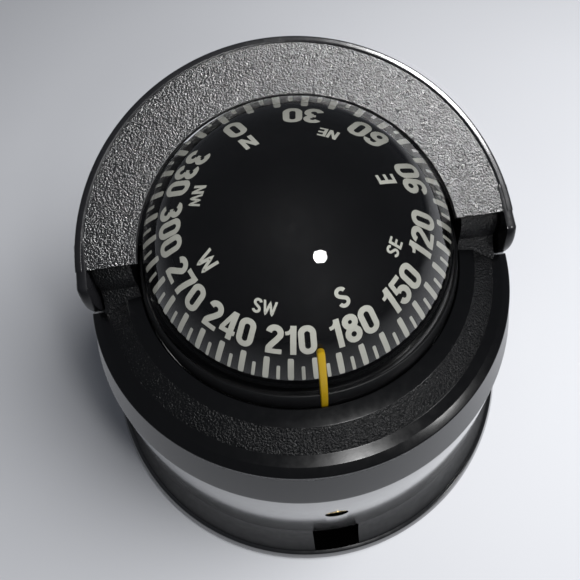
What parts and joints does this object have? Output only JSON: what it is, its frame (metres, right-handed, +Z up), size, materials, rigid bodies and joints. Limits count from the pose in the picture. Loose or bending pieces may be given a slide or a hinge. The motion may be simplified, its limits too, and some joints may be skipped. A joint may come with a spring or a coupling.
{
  "type": "marine magnetic compass",
  "caption": "Surface-mounted marine steering compass with a domed fluid capsule, gimballed card, tilting sun hood and screw-adjusted compensators.",
  "frame": {"origin": "centre of the underside, on the surface the compass stands on", "axes": "+Z up through the dome, +Y forward (the vessel's bow), -Y towards the helmsman, where the lubber line stands, +X to starboard"},
  "size_m": [0.1338, 0.1338, 0.1018],
  "materials": {
    "housing_black": "gloss black moulding",
    "trim_black": "fine-textured black moulding",
    "inner_black": "satin black moulding",
    "card_black": "matt black with printed ticks and figures",
    "lubber_yellow": "yellow moulding",
    "dome_clear": "clear acrylic",
    "rubber_black": "matt rubber",
    "brass": "turned brass",
    "stainless": "stainless steel",
    "magnet_grey": "plated magnet steel",
    "board_green": "circuit board",
    "lamp_red": "red lamp lens"
  },
  "bodies": {
    "housing": {"base_gasket": "rubber_black", "mounting_plate": "inner_black", "deck_inserts": "brass", "plate_screws": "stainless", "cable_grommet": "rubber_black", "base_housing": "housing_black", "tie_screws": "stainless", "collar": "housing_black", "bezel_screws": "stainless", "bezel_ring": "trim_black", "dome_trim_ring": "trim_black", "lubber_line": "lubber_yellow", "lamp_board": "board_green", "card_lamp": "lamp_red", "dome_window": "dome_clear", "dome_seal": "rubber_black", "capsule_bowl": "inner_black", "gimbal_pitch_pins": "stainless", "expansion_diaphragm": "rubber_black", "diaphragm_retainer": "inner_black", "retainer_screws": "stainless", "fill_plug": "brass", "hood_pivot_screws": "stainless", "hood_washers": "inner_black", "compensator_bracket": "inner_black", "bracket_screws": "stainless"},
    "hood": {"sun_hood": "trim_black"},
    "gimbal_outer": {"gimbal_ring": "inner_black", "gimbal_roll_pins": "stainless"},
    "gimbal_inner": {"gimbal_frame": "inner_black", "counterweight": "brass", "pivot_post": "stainless"},
    "card": {"compass_card": "card_black", "card_float": "inner_black", "jewel_cup": "brass", "card_magnets": "magnet_grey"},
    "fore_compensator": {"fore_compensator_rod": "brass", "fore_compensator_magnet": "magnet_grey"},
    "cross_compensator": {"cross_compensator_rod": "brass", "cross_compensator_magnet": "magnet_grey"}
  },
  "joints": [
    {"name": "hood_tilt", "type": "hinge", "parent": "housing", "child": "hood", "pos_m": [0, 0, 0.069], "axis": [1, 0, 0], "range_deg": [-2, 38]},
    {"name": "gimbal_pitch", "type": "hinge", "parent": "housing", "child": "gimbal_outer", "pos_m": [0, 0, 0.058], "axis": [1, 0, 0], "range_deg": [-18, 18]},
    {"name": "gimbal_roll", "type": "hinge", "parent": "gimbal_outer", "child": "gimbal_inner", "pos_m": [0, 0, 0.058], "axis": [0, 1, 0], "range_deg": [-18, 18]},
    {"name": "card_spin", "type": "hinge", "parent": "gimbal_inner", "child": "card", "pos_m": [0, 0, 0.0685], "axis": [0, 0, 1], "continuous": true},
    {"name": "fore_compensator_turn", "type": "hinge", "parent": "housing", "child": "fore_compensator", "pos_m": [0, 0, 0.0376], "axis": [0, 1, 0], "continuous": true},
    {"name": "cross_compensator_turn", "type": "hinge", "parent": "housing", "child": "cross_compensator", "pos_m": [0, 0, 0.031], "axis": [1, 0, 0], "continuous": true}
  ]
}
